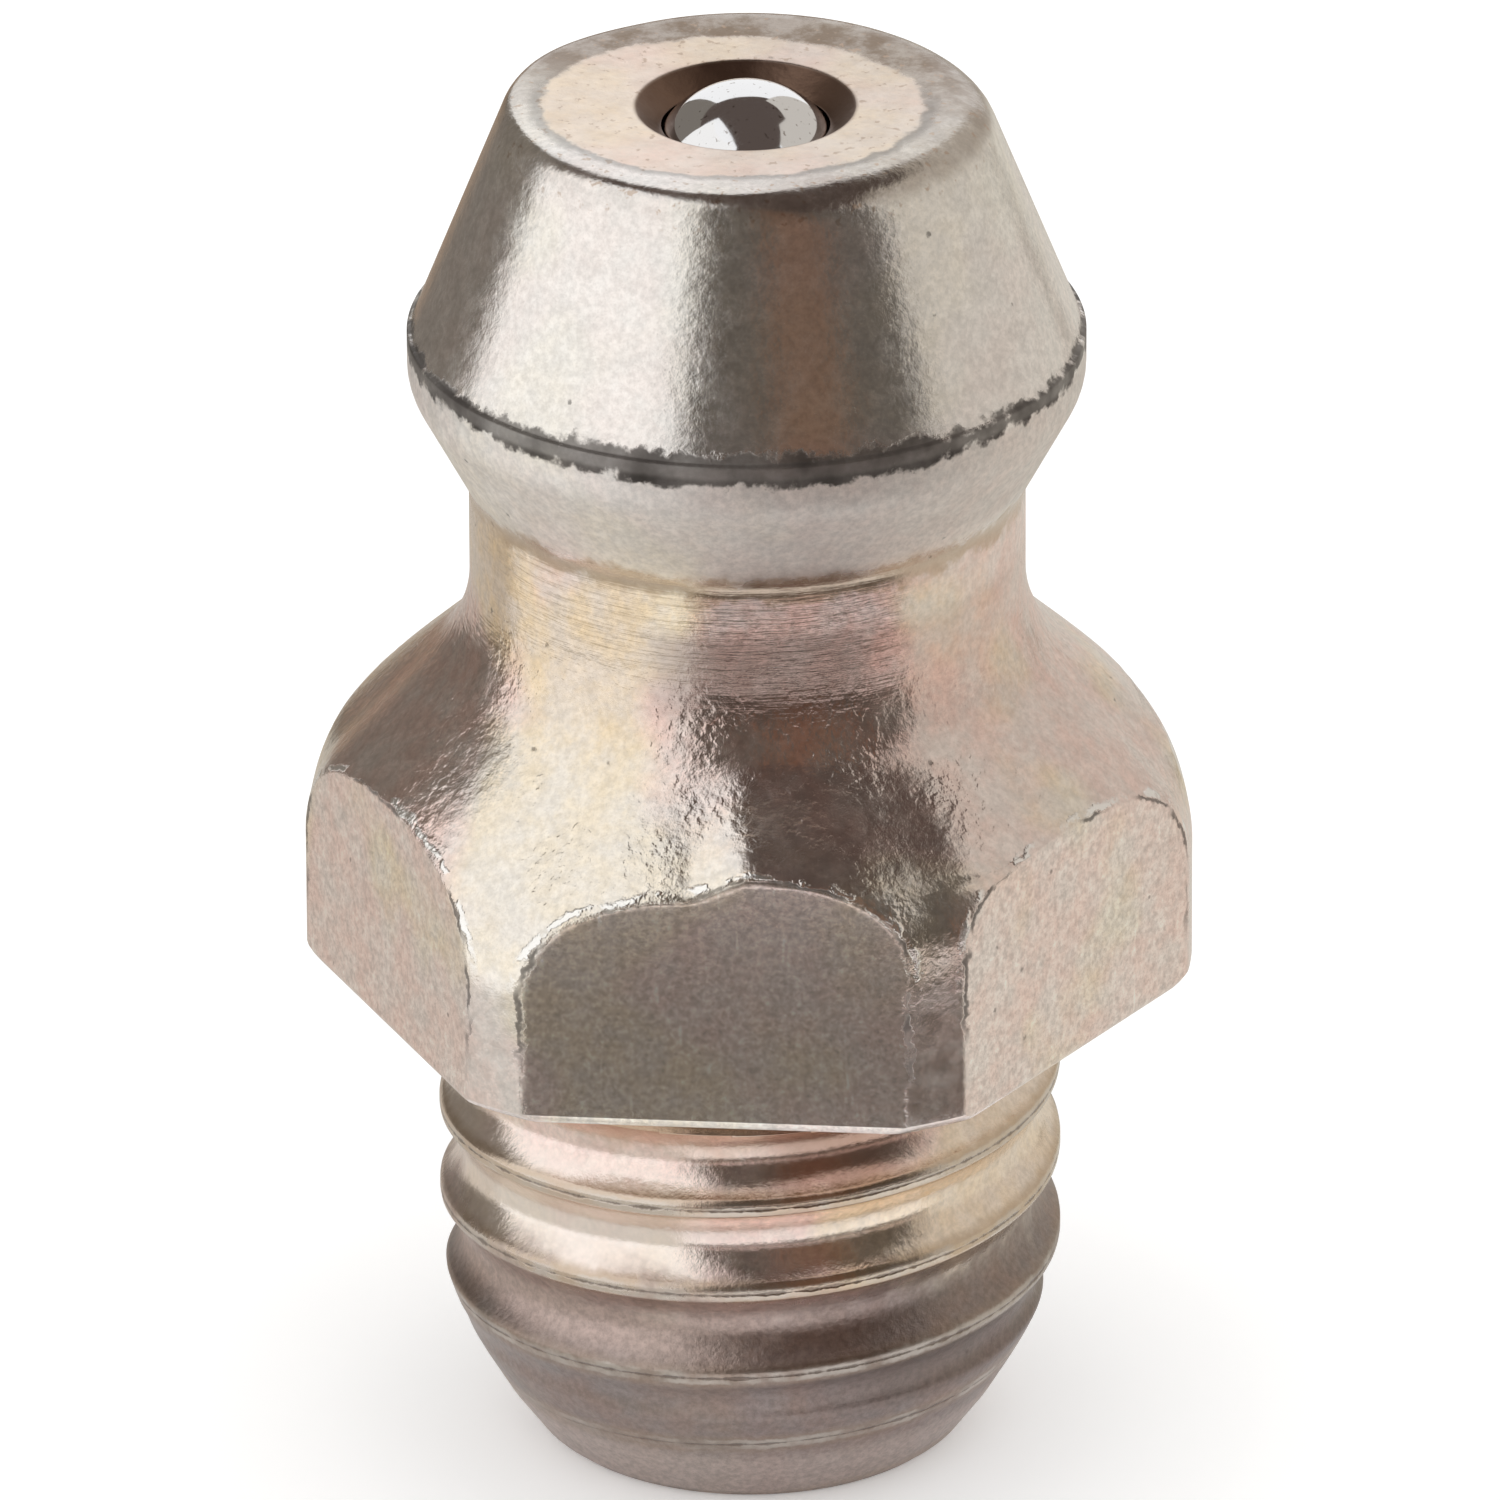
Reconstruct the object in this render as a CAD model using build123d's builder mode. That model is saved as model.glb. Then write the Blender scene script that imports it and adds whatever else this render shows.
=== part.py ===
from build123d import *
import math
import os

# Straight grease nipple, turned and pressed from steel wire. +Z is up.
# The origin is the centre of the threaded end, on the surface that the nipple stands on.

# Shank: the length below the hexagon that goes into the machine
shank_length = 4.85
end_chamfer_width = 0.36
end_chamfer_height = 0.5
lead_below_root = 0.14
lead_angle = 30
lead_fillet = 4
relief_length = 0.5
relief_below_root = 0.06

# Thread: one right-hand start of fine pitch, with 60 degree flanks
thread_major_radius = 3.01
thread_depth = 0.46
thread_pitch = 25.4 / 28
thread_crest_width = 0.13
thread_flank_angle = 30
thread_turn_offset = -0.28
groove_overshoot = 0.07

# Hexagon: flats pressed on a round blank, so the corners keep the blank's radius
hex_across_flats = 7.75
hex_corner_radius = 4.28
hex_under_chamfer = 0.1

# Neck, and the flared shoulder that runs down onto the hexagon
hex_to_head = 6.6
neck_below_head_radius = 0.58
shoulder_below_head = 3.01
shoulder_angle = 43
shoulder_fillet = 1.5
neck_fillet = 0.8

# Head: the double cone that the coupler's jaws grip
head_radius = 3.25
head_height = 2.45
head_land_height = 0.17
head_step = 0.05
head_upper_angle = 21.5
head_lower_angle = 28
head_lower_fillet = 1.2
head_rim_fillet = 0.44
face_dish = 0.05

# Grease way: funnel mouth, valve seat, spring chamber and the lip staked inwards under the spring
mouth_radius = 1.055
throat_radius = 0.8
funnel_depth = 0.2
seat_angle = 30
chamber_radius = 1.2
lip_radius = 0.72
lip_height = 0.42
stake_radius = 1.2
stake_depth = 0.24

# Check ball, and the spring that holds it on its seat
ball_radius = 0.95
seat_clearance = 0.02
spring_wire_radius = 0.14
spring_wire_sides = 6
spring_coil_radius = 0.86
spring_pitch = 1.7
spring_clearance = 0.03


def rise(run, angle):
    """Height that a slope gains over a run out from the axis, at an angle from the axis."""
    return run / math.tan(math.radians(angle))


def run_out(height, angle):
    """Run out from the axis that a slope makes over a height, at an angle from the axis."""
    return height * math.tan(math.radians(angle))


def corner_at(sketch, radius, height):
    """The corner of a half section that lies at this radius and height."""
    return sketch.vertices().sort_by_distance((radius, height, 0))[0]


# The neck's radius comes from the head's, and heights of the outside are from the threaded end
neck_radius = head_radius - neck_below_head_radius
head_widest = shank_length + hex_to_head
overall_length = head_widest + head_height
thread_top = shank_length - relief_length
shoulder_top = head_widest - shoulder_below_head
shoulder_foot = shoulder_top - rise(hex_corner_radius - neck_radius, shoulder_angle)
land_top = head_widest + head_land_height / 2
land_bottom = head_widest - head_land_height / 2
land_corner = land_bottom - head_lower_fillet * math.tan(math.radians(head_lower_angle / 2))
neck_top = land_corner - rise(head_radius - neck_radius, head_lower_angle)
cone_bottom = land_top + head_step / 2
cone_top_radius = head_radius - head_step - run_out(overall_length - cone_bottom, head_upper_angle)
face_radius = cone_top_radius - head_rim_fillet * math.tan(math.radians((90 - head_upper_angle) / 2))

# Radii of the shank that follow from the thread's root
thread_root_radius = thread_major_radius - thread_depth
relief_radius = thread_root_radius - relief_below_root
lead_tip_radius = thread_root_radius - lead_below_root
end_face_radius = lead_tip_radius - end_chamfer_width
envelope_radius = thread_major_radius + groove_overshoot
lead_top = end_chamfer_height + rise(envelope_radius - lead_tip_radius, lead_angle)

# Heights of the grease way
rim_height = overall_length - face_dish
throat_height = rim_height - funnel_depth
seat_foot = throat_height - rise(chamber_radius - throat_radius, seat_angle)

# The ball's radius to its touching point is square to the seat's cone; the gap lowers it a little
contact_radius = ball_radius * math.cos(math.radians(seat_angle))
contact_height = throat_height - rise(contact_radius - throat_radius, seat_angle)
seat_sine = math.sin(math.radians(seat_angle))
ball_height = contact_height - ball_radius * seat_sine - seat_clearance / seat_sine

# The top coil cups the ball, and the bottom coil stands on the staked lip
cup_distance = ball_radius + spring_wire_radius + spring_clearance
spring_top = ball_height - math.sqrt(cup_distance**2 - spring_coil_radius**2)
spring_bottom = lip_height + spring_clearance

# Threaded rod, longer than the shank at both ends, so that its groove starts and stops outside the shank
groove_start = thread_turn_offset - thread_pitch
groove_turns = math.ceil((shank_length - groove_start) / thread_pitch) + 1
groove_top = groove_start + groove_turns * thread_pitch
groove_flank = run_out(thread_depth, thread_flank_angle)
groove_mouth = (thread_pitch - thread_crest_width) / 2
with BuildPart() as threaded_rod:
    with Locations((0, 0, groove_start - thread_pitch)):
        Cylinder(
            thread_major_radius,
            groove_top - groove_start + 2 * thread_pitch,
            align=(Align.CENTER, Align.CENTER, Align.MIN),
        )
    with BuildLine() as groove_path:
        Helix(
            thread_pitch,
            groove_top - groove_start,
            thread_major_radius,
            center=(0, 0, groove_start),
        )
    groove_plane = Plane(
        origin=groove_path.line @ 0,
        x_dir=(1, 0, 0),
        z_dir=groove_path.line % 0,
    )
    with BuildSketch(groove_plane) as groove_section:
        with BuildLine():
            Polyline(
                (-thread_depth, groove_flank - groove_mouth),
                (groove_overshoot, -groove_mouth - run_out(groove_overshoot, thread_flank_angle)),
                (groove_overshoot, groove_mouth + run_out(groove_overshoot, thread_flank_angle)),
                (-thread_depth, groove_mouth - groove_flank),
                close=True,
            )
        make_face()
    sweep(path=groove_path.line, is_frenet=True, mode=Mode.SUBTRACT)

# Shank: the rod trimmed to its chamfered end, its tapering lead and the relief under the hexagon
with BuildPart() as shank:
    with BuildSketch(Plane.XZ) as envelope:
        with BuildLine():
            Polyline(
                (0, 0),
                (end_face_radius, 0),
                (lead_tip_radius, end_chamfer_height),
                (envelope_radius, lead_top),
                (envelope_radius, thread_top),
                (relief_radius, thread_top),
                (relief_radius, shank_length),
                (0, shank_length),
                close=True,
            )
        make_face()
        fillet(corner_at(envelope, envelope_radius, lead_top), lead_fillet)
    revolve(axis=Axis.Z)
    add(threaded_rod.part, mode=Mode.INTERSECT)

# Body: hexagon, shoulder, neck and head in one piece with the shank
with BuildPart() as body:
    with BuildSketch(Plane.XZ) as blank:
        with BuildLine():
            Polyline(
                (0, shank_length),
                (hex_corner_radius - hex_under_chamfer, shank_length),
                (hex_corner_radius, shank_length + hex_under_chamfer),
                (hex_corner_radius, shoulder_foot),
                (neck_radius, shoulder_top),
                (neck_radius, neck_top),
                (head_radius, land_corner),
                (head_radius, land_top),
                (head_radius - head_step, cone_bottom),
                (cone_top_radius, overall_length),
                (0, overall_length),
                close=True,
            )
        make_face()
        fillet(corner_at(blank, hex_corner_radius, shoulder_foot), shoulder_fillet)
        fillet(corner_at(blank, neck_radius, shoulder_top), shoulder_fillet)
        fillet(corner_at(blank, neck_radius, neck_top), neck_fillet)
        fillet(corner_at(blank, head_radius, land_corner), head_lower_fillet)
        fillet(corner_at(blank, cone_top_radius, overall_length), head_rim_fillet)
    revolve(axis=Axis.Z)
    # Six flats: only the hexagon's own corners reach out past them
    with BuildSketch(Plane.XY.offset(shank_length)):
        RegularPolygon(hex_across_flats / 2, 6, major_radius=False)
    extrude(amount=overall_length, mode=Mode.INTERSECT)
    add(shank.part)
    # Grease way through the whole length, and the dished face round its mouth
    with BuildSketch(Plane.XZ):
        with BuildLine():
            Polyline(
                (0, 0),
                (stake_radius, 0),
                (lip_radius, stake_depth),
                (lip_radius, lip_height),
                (chamber_radius, lip_height),
                (chamber_radius, seat_foot),
                (throat_radius, throat_height),
                (mouth_radius, rim_height),
                (face_radius, overall_length),
                (0, overall_length),
                close=True,
            )
        make_face()
    revolve(axis=Axis.Z, mode=Mode.SUBTRACT)

with BuildPart() as ball:
    with Locations((0, 0, ball_height)):
        Sphere(ball_radius)

# Spring: wound longer than its place at both ends, then ground flat to length. Its round wire has flat sides
with BuildPart() as spring:
    with BuildLine() as coil_path:
        Helix(
            spring_pitch,
            spring_top - spring_bottom + 2 * spring_wire_radius,
            spring_coil_radius,
            center=(0, 0, spring_bottom - spring_wire_radius),
        )
    with BuildSketch(Plane(origin=coil_path.line @ 0, x_dir=(1, 0, 0), z_dir=coil_path.line % 0)):
        RegularPolygon(spring_wire_radius, spring_wire_sides)
    sweep(path=coil_path.line, is_frenet=True)
    split(bisect_by=Plane.XY.offset(spring_bottom), keep=Keep.TOP)
    split(bisect_by=Plane.XY.offset(spring_top), keep=Keep.BOTTOM)

os.makedirs("parts", exist_ok=True)
for name, piece in (("body", body), ("ball", ball), ("spring", spring)):
    piece.part.label = name
    export_step(piece.part, f"parts/{name}.step")
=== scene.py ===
import bmesh
import bpy
import math
import numpy as np
from mathutils import Matrix, Vector


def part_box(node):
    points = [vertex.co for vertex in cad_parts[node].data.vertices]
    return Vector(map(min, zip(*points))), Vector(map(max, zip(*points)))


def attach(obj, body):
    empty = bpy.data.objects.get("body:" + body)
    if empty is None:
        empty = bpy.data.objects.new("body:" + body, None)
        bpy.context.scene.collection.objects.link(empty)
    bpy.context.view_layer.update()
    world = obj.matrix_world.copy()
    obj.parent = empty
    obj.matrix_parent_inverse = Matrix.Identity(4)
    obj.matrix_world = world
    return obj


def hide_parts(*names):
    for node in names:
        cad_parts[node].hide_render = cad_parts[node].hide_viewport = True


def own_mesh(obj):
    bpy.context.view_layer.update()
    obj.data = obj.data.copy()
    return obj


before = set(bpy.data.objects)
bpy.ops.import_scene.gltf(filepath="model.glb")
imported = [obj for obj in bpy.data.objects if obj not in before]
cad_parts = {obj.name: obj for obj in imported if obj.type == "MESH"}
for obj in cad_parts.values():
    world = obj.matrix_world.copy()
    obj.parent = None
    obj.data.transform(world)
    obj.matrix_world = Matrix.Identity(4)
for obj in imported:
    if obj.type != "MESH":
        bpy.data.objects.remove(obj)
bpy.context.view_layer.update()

scene = bpy.context.scene
scene.view_settings.view_transform = "Standard"
MM = 0.001

# Camera
# A long lens a quarter of a metre away looks down on the nipple at about 25 degrees. It stands a
# little to the right of the front flat's normal. The lens is aimed so that no shift is needed.
PHOTO_SIDE = 1500
HEAD_CENTRE = Vector((0.0, 0.0, 11.45)) * MM
HEAD_PIXEL = (746.594, 333.918)
CAMERA_DISTANCE = 250 * MM
CAMERA_TURN = math.radians(5.0)
CAMERA_ELEVATION = math.radians(24.664)
CAMERA_ROLL = math.radians(-0.249)
PIXELS_PER_MM = 104.59
SENSOR_WIDTH = 36.0
NEAREST_SEEN = 0.01
FURTHEST_SEEN = 10.0

focal_pixels = PIXELS_PER_MM * CAMERA_DISTANCE / MM
to_camera = Vector(
    (
        math.sin(CAMERA_TURN) * math.cos(CAMERA_ELEVATION),
        -math.cos(CAMERA_TURN) * math.cos(CAMERA_ELEVATION),
        math.sin(CAMERA_ELEVATION),
    )
)
level_right = Vector((math.cos(CAMERA_TURN), math.sin(CAMERA_TURN), 0.0))
level_up = to_camera.cross(level_right)
picture_right = level_right * math.cos(CAMERA_ROLL) + level_up * math.sin(CAMERA_ROLL)
picture_up = level_up * math.cos(CAMERA_ROLL) - level_right * math.sin(CAMERA_ROLL)
across = (PHOTO_SIDE / 2 - HEAD_PIXEL[0]) / focal_pixels
down = (PHOTO_SIDE / 2 - HEAD_PIXEL[1]) / focal_pixels
aim = (picture_right * across - picture_up * down - to_camera).normalized()
aim_right = aim.cross(picture_up).normalized()
aim_up = aim_right.cross(aim)

camera_data = bpy.data.cameras.new("camera")
camera_data.sensor_width = SENSOR_WIDTH
camera_data.lens = focal_pixels * SENSOR_WIDTH / PHOTO_SIDE
camera_data.clip_start = NEAREST_SEEN
camera_data.clip_end = FURTHEST_SEEN
camera = bpy.data.objects.new("camera", camera_data)
scene.collection.objects.link(camera)
turn = Matrix((aim_right, aim_up, -aim)).transposed().to_4x4()
camera.matrix_world = Matrix.Translation(HEAD_CENTRE + to_camera * CAMERA_DISTANCE) @ turn
scene.camera = camera

# Shapes
# Every surface is one grid of points in millimetres. Heights are from the threaded end.
MERGE_DISTANCE = 0.0004
FEWEST_STEPS = 2
FEWEST_ARC_STEPS = 4


def straight_run(first, last, spacing):
    """Points from first to last in equal steps, each at most the spacing."""
    steps = max(FEWEST_STEPS, math.ceil(np.linalg.norm(last - first) / spacing))
    return first + (last - first) * np.linspace(0, 1, steps + 1)[:, None]


def rounded_line(corners, spacing):
    """A line of (radius, height) points through corners that are (radius, height, fillet). Each arc
    starts and ends one tangent length from its corner."""
    points = np.array(corners, float)[:, :2]
    pieces = []
    last = points[0]
    for number in range(1, len(corners) - 1):
        fillet = corners[number][2]
        back = points[number - 1] - points[number]
        ahead = points[number + 1] - points[number]
        back /= np.linalg.norm(back)
        ahead /= np.linalg.norm(ahead)
        opening = math.acos(np.clip(back @ ahead, -1, 1))
        tangent = fillet / math.tan(opening / 2)
        start = points[number] + back * tangent
        end = points[number] + ahead * tangent
        pieces.append(straight_run(last, start, spacing)[:-1])
        if fillet > 0:
            inwards = (back + ahead) / np.linalg.norm(back + ahead)
            centre = points[number] + inwards * (fillet / math.sin(opening / 2))
            steps = max(FEWEST_ARC_STEPS, math.ceil(fillet * (math.pi - opening) / spacing))
            first = math.atan2(*(start - centre)[::-1])
            swing = math.atan2(*(end - centre)[::-1]) - first
            swing = (swing + math.pi) % (2 * math.pi) - math.pi
            angles = first + swing * np.linspace(0, 1, steps + 1)[:-1]
            pieces.append(centre + fillet * np.stack([np.cos(angles), np.sin(angles)], 1))
        last = end
    pieces.append(straight_run(last, points[-1], spacing))
    return np.concatenate(pieces)


def around_axis(radius, angle, height):
    """Points at a radius, an angle round the axis and a height, any of which may be a grid."""
    parts = np.broadcast_arrays(radius * np.cos(angle), radius * np.sin(angle), height)
    return np.stack(parts, -1)


def sheet_mesh(name, grid, marks=None):
    """A mesh from a grid of points, rows by columns. Points that fall together are merged, so a grid
    closes where its first and last columns meet and where a row is one point. Marks are named values,
    one for each point, that materials can read."""
    rows, columns = grid.shape[:2]
    index = np.arange(rows * columns).reshape(rows, columns)
    faces = np.stack([index[:-1, :-1], index[:-1, 1:], index[1:, 1:], index[1:, :-1]], -1)
    mesh = bpy.data.meshes.new(name)
    mesh.from_pydata(grid.reshape(-1, 3) * MM, [], faces.reshape(-1, 4))
    for label, values in (marks or {}).items():
        mark = mesh.attributes.new(label, "FLOAT", "POINT")
        mark.data.foreach_set("value", values.reshape(-1).astype(np.float32))
    welded = bmesh.new()
    welded.from_mesh(mesh)
    bmesh.ops.remove_doubles(welded, verts=welded.verts, dist=MERGE_DISTANCE * MM)
    bmesh.ops.dissolve_degenerate(welded, dist=MERGE_DISTANCE * MM, edges=welded.edges)
    welded.to_mesh(mesh)
    welded.free()
    mesh.shade_smooth()
    return mesh


def smooth_least(first, second, blend):
    """The smaller of two radii, with the corner where they cross rounded over the length blend."""
    near = np.clip(0.5 + 0.5 * (second - first) / blend, 0, 1)
    return second * (1 - near) + first * near - blend * near * (1 - near)


def ease(value, low, high):
    """0 below low and 1 above high, with a smooth step between them."""
    share = np.clip((value - low) / (high - low), 0, 1)
    return share * share * (3 - 2 * share)


def window(value, rise, full, fading, gone):
    """0 outside rise and gone, and 1 between full and fading, with smooth steps between."""
    return ease(value, rise, full) * ease(-value, -gone, -fading)


# Head, neck, shoulder and hexagon
# One piece of mild steel wire, cold headed and turned, with a bore through its whole length.
HEX_BOTTOM = 4.85
HEX_CORNER_RADIUS = 4.28
HEX_FLAT = 3.875
HEX_UNDER_CHAMFER = 0.1
HEAD_WIDEST = 11.45
HEAD_RADIUS = 3.25
HALF_LAND = 0.085
HEAD_STEP = 0.05
NECK_RADIUS = 2.67
BODY_TOP = 13.9
SHOULDER_TOP = 8.44
SHOULDER_SLOPE = math.radians(43)
UNDERSIDE_SLOPE = math.radians(28)
CONE_SLOPE = math.radians(21.5)
MOUTH_RADIUS = 1.055
THROAT_RADIUS = 0.8
CHAMBER_RADIUS = 1.2
SEAT_SLOPE = math.radians(30)
RIM_HEIGHT = 13.85
THROAT_HEIGHT = 13.65
LIP_RADIUS = 0.72
LIP_HEIGHT = 0.42
STAKE_DEPTH = 0.24
RELIEF_RADIUS = 2.49
UNDER_EDGE_FILLETS = (0.03, 0.04)
SHOULDER_FILLET = 1.5
NECK_FILLET = 0.4
LAND_FILLET = 0.6
LAND_TANGENT_FILLET = 1.2
STEP_FILLETS = (0.02, 0.03)
RIM_FILLET = 0.5
RIM_TO_DISH = 0.012
DISH_FILLETS = (0.05, 0.035, 0.02)
UPPER_SPACING = 0.075

land_top = HEAD_WIDEST + HALF_LAND
land_corner = HEAD_WIDEST - HALF_LAND - LAND_TANGENT_FILLET * math.tan(UNDERSIDE_SLOPE / 2)
cone_bottom = land_top + HEAD_STEP / 2
cone_top_radius = HEAD_RADIUS - HEAD_STEP - (BODY_TOP - cone_bottom) * math.tan(CONE_SLOPE)
seat_foot = THROAT_HEIGHT - (CHAMBER_RADIUS - THROAT_RADIUS) / math.tan(SEAT_SLOPE)
shoulder_foot = SHOULDER_TOP - (HEX_CORNER_RADIUS - NECK_RADIUS) / math.tan(SHOULDER_SLOPE)
neck_top = land_corner - (HEAD_RADIUS - NECK_RADIUS) / math.tan(UNDERSIDE_SLOPE)
rim_reach = RIM_FILLET * math.tan((math.pi / 2 - CONE_SLOPE) / 2)
upper_line = rounded_line(
    [
        (RELIEF_RADIUS, HEX_BOTTOM, 0),
        (HEX_CORNER_RADIUS - HEX_UNDER_CHAMFER, HEX_BOTTOM, UNDER_EDGE_FILLETS[0]),
        (HEX_CORNER_RADIUS, HEX_BOTTOM + HEX_UNDER_CHAMFER, UNDER_EDGE_FILLETS[1]),
        (HEX_CORNER_RADIUS, shoulder_foot, SHOULDER_FILLET),
        (NECK_RADIUS, SHOULDER_TOP, SHOULDER_FILLET),
        (NECK_RADIUS, neck_top, NECK_FILLET),
        (HEAD_RADIUS, land_corner, LAND_FILLET),
        (HEAD_RADIUS, land_top, STEP_FILLETS[0]),
        (HEAD_RADIUS - HEAD_STEP, cone_bottom, STEP_FILLETS[1]),
        (cone_top_radius, BODY_TOP, RIM_FILLET),
        (cone_top_radius - rim_reach - RIM_TO_DISH, BODY_TOP, DISH_FILLETS[0]),
        (MOUTH_RADIUS, RIM_HEIGHT, DISH_FILLETS[1]),
        (THROAT_RADIUS, THROAT_HEIGHT, DISH_FILLETS[2]),
        (CHAMBER_RADIUS, seat_foot, 0),
        (CHAMBER_RADIUS, LIP_HEIGHT, 0),
    ],
    UPPER_SPACING,
)
row_radius = upper_line[:, 0][:, None]
row_height = upper_line[:, 1][:, None]

# Pressing the flats pushed the shoulder's metal up above them, most of all at the right of the front
# flat, and their lower edges are broken
SECTOR = math.radians(60)
FLAT_DEEPER = 0.035
EDGE_BEVEL = 0.05
BEVEL_HEIGHT = 0.07
PUSHED_UP = 0.1
PUSHED_HEIGHTS = (6.0, 7.1, 7.3, 8.3)
PUSHED_MORE = 0.3
MORE_HEIGHTS = (6.2, 7.6, 7.2, 8.4)
MORE_DEGREES = (-94, -84, -56, -36)
flat_normals = np.arange(6) * SECTOR - math.pi / 2
bevel_share = np.clip((HEX_BOTTOM + BEVEL_HEIGHT - row_height) / BEVEL_HEIGHT, 0, 1)
flat_distance = HEX_FLAT - (FLAT_DEEPER + EDGE_BEVEL * bevel_share)


def angle_from_flat(angle):
    """The angle from the nearest flat's normal."""
    return (angle + math.pi / 2 + SECTOR / 2) % SECTOR - SECTOR / 2


def pushed_up(angle):
    """How far the metal above the flats is pushed out, at angles round the axis, row by row."""
    tall = row_height.reshape((-1,) + (1,) * (angle.ndim - 1))
    off_middle = np.abs(angle_from_flat(angle) / (SECTOR / 2)) ** 3
    all_round = PUSHED_UP * np.cos(math.pi / 2 * off_middle) ** 2 * window(tall, *PUSHED_HEIGHTS)
    degrees = (np.degrees(angle) + 180) % 360 - 180
    at_right = PUSHED_MORE * window(degrees, *MORE_DEGREES) * window(tall, *MORE_HEIGHTS)
    return all_round + at_right


# Columns gather at the edges of the six flats, so that each edge is one clean line of the mesh. The
# edges are found row by row: where the free surface, pushed up as it is there, meets the flat
FLAT_COLUMNS = 30
LAND_COLUMNS = 11
EDGE_PASSES = 8
EDGE_GUESS = math.radians(20)
LEAST_EDGE = math.radians(0.3)
FREE_EDGE = math.radians(25)
FREE_ROWS = 12
FREE_BEND = 0.7
sides = np.array([-1, 1])
edge_angle = np.full((len(upper_line), 6, 2), EDGE_GUESS)
for _ in range(EDGE_PASSES):
    free_radius = row_radius[:, None] + pushed_up(flat_normals[None, :, None] + sides * edge_angle)
    edge_angle = np.arccos(np.clip(flat_distance[:, None] / free_radius, -1, 1))

# Past the tops of the flats the columns spread out evenly again
inside_flats = (row_radius + PUSHED_UP < flat_distance)[:, 0]
apex = np.argmax((upper_line[:, 1] > shoulder_foot) & inside_flats)
rows_past = (np.arange(len(upper_line)) - apex)[:, None, None]
free_angle = FREE_EDGE * np.clip(rows_past / FREE_ROWS, 0, 1) ** FREE_BEND
edge_angle = np.where(rows_past >= 0, np.maximum(edge_angle, free_angle), edge_angle)
edge_angle = np.maximum(edge_angle, LEAST_EDGE)
left_edge = edge_angle[:, :, 0][:, :, None]
right_edge = edge_angle[:, :, 1][:, :, None]
land_angle = SECTOR - right_edge - np.roll(left_edge, -1, 1)
flat_share = np.sin(np.linspace(-0.5, 0.5, FLAT_COLUMNS) * math.pi)
share = np.concatenate([flat_share, np.linspace(1, 2, LAND_COLUMNS + 2)[1:-1]])
on_flat = share * np.where(share < 0, left_edge, right_edge)
local = np.where(share <= 1, on_flat, right_edge + (share - 1) * land_angle)
theta = (flat_normals[None, :, None] + local).reshape(len(upper_line), -1)

NEAR_NECK = 0.05
EDGE_BLEND = 0.035
NO_FLAT = -1.0
radius = row_radius + pushed_up(theta)
flat_radius = flat_distance / np.cos(angle_from_flat(theta))
in_hexagon = (row_height < SHOULDER_TOP) & (row_radius > NECK_RADIUS + NEAR_NECK)
past_edge = np.where(in_hexagon, radius - flat_radius, NO_FLAT)
radius = np.where(in_hexagon, smooth_least(radius, flat_radius, EDGE_BLEND), radius)

# The rim is sharper at the front left: its fillet shrinks towards the corner that it rounds, and the
# upper part of the cone stretches up after it
RIM_SHARPER = 0.55
RIM_STRETCH = 0.8
SHARPER_DEGREES = (-150, -110, 0, 30)
TINY = 1e-6
from_front = (np.degrees(theta) + 270) % 360 - 180
sharper = 1 - RIM_SHARPER * window(from_front, *SHARPER_DEGREES)
to_corner = np.hypot(row_radius - cone_top_radius, row_height - BODY_TOP)
past_rim = (to_corner - rim_reach) / RIM_STRETCH
stretched = sharper * rim_reach + past_rim * (rim_reach + RIM_STRETCH - sharper * rim_reach)
on_cone = (row_radius > cone_top_radius) & (row_height > cone_bottom) & (past_rim < 1)
scale = np.where(on_cone, stretched / to_corner, 1)
scale = np.where(to_corner < rim_reach + TINY, sharper, scale)
radius = cone_top_radius + (radius - cone_top_radius) * scale
height = BODY_TOP + (row_height - BODY_TOP) * scale

upper_grid = around_axis(radius, theta, height)
upper_grid = np.concatenate([upper_grid, upper_grid[:, :1]], 1)
past_edge = np.concatenate([past_edge, past_edge[:, :1]], 1)
upper_mesh = sheet_mesh("head_and_hexagon", upper_grid, {"past_flat_edge": past_edge})
upper = bpy.data.objects.new("head_and_hexagon", upper_mesh)
scene.collection.objects.link(upper)
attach(upper, "nipple")
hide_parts("body")

# Threaded shank
# A rolled right-hand thread with a tapering lead. Rows of its grid follow the helix, so that its
# crests and roots are clean lines of the mesh.
THREAD_RADIUS = 3.01
THREAD_DEPTH = 0.22
INCH = 25.4
TURNS_PER_INCH = 28
THREAD_PITCH = INCH / TURNS_PER_INCH
THREAD_CREST = 0.13
THREAD_OFFSET = -0.28
THREAD_FOOT = 0.1
THREAD_TOP = 4.35
TURNS_BELOW = 1.5
TURNS_ABOVE = 1.6
THREAD_COLUMNS = 264
ROWS_PER_TURN = 26
END_RADIUS = 2.05
TIP_RADIUS = 2.41
END_CHAMFER = 0.5
LEAD_SLOPE = math.radians(30)
LEAD_ABOVE_CREST = 0.07
LEAD_BLEND = 0.45
CREST_BLEND = 0.03
RELIEF_FILLET = 0.04
STAKE_FILLETS = (0.03, 0.04)
END_EDGE = ((1.96, 0, 0), (2.02, 0.018, 0), (2.065, 0.06, 0))
END_SPACING = 0.1

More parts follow.
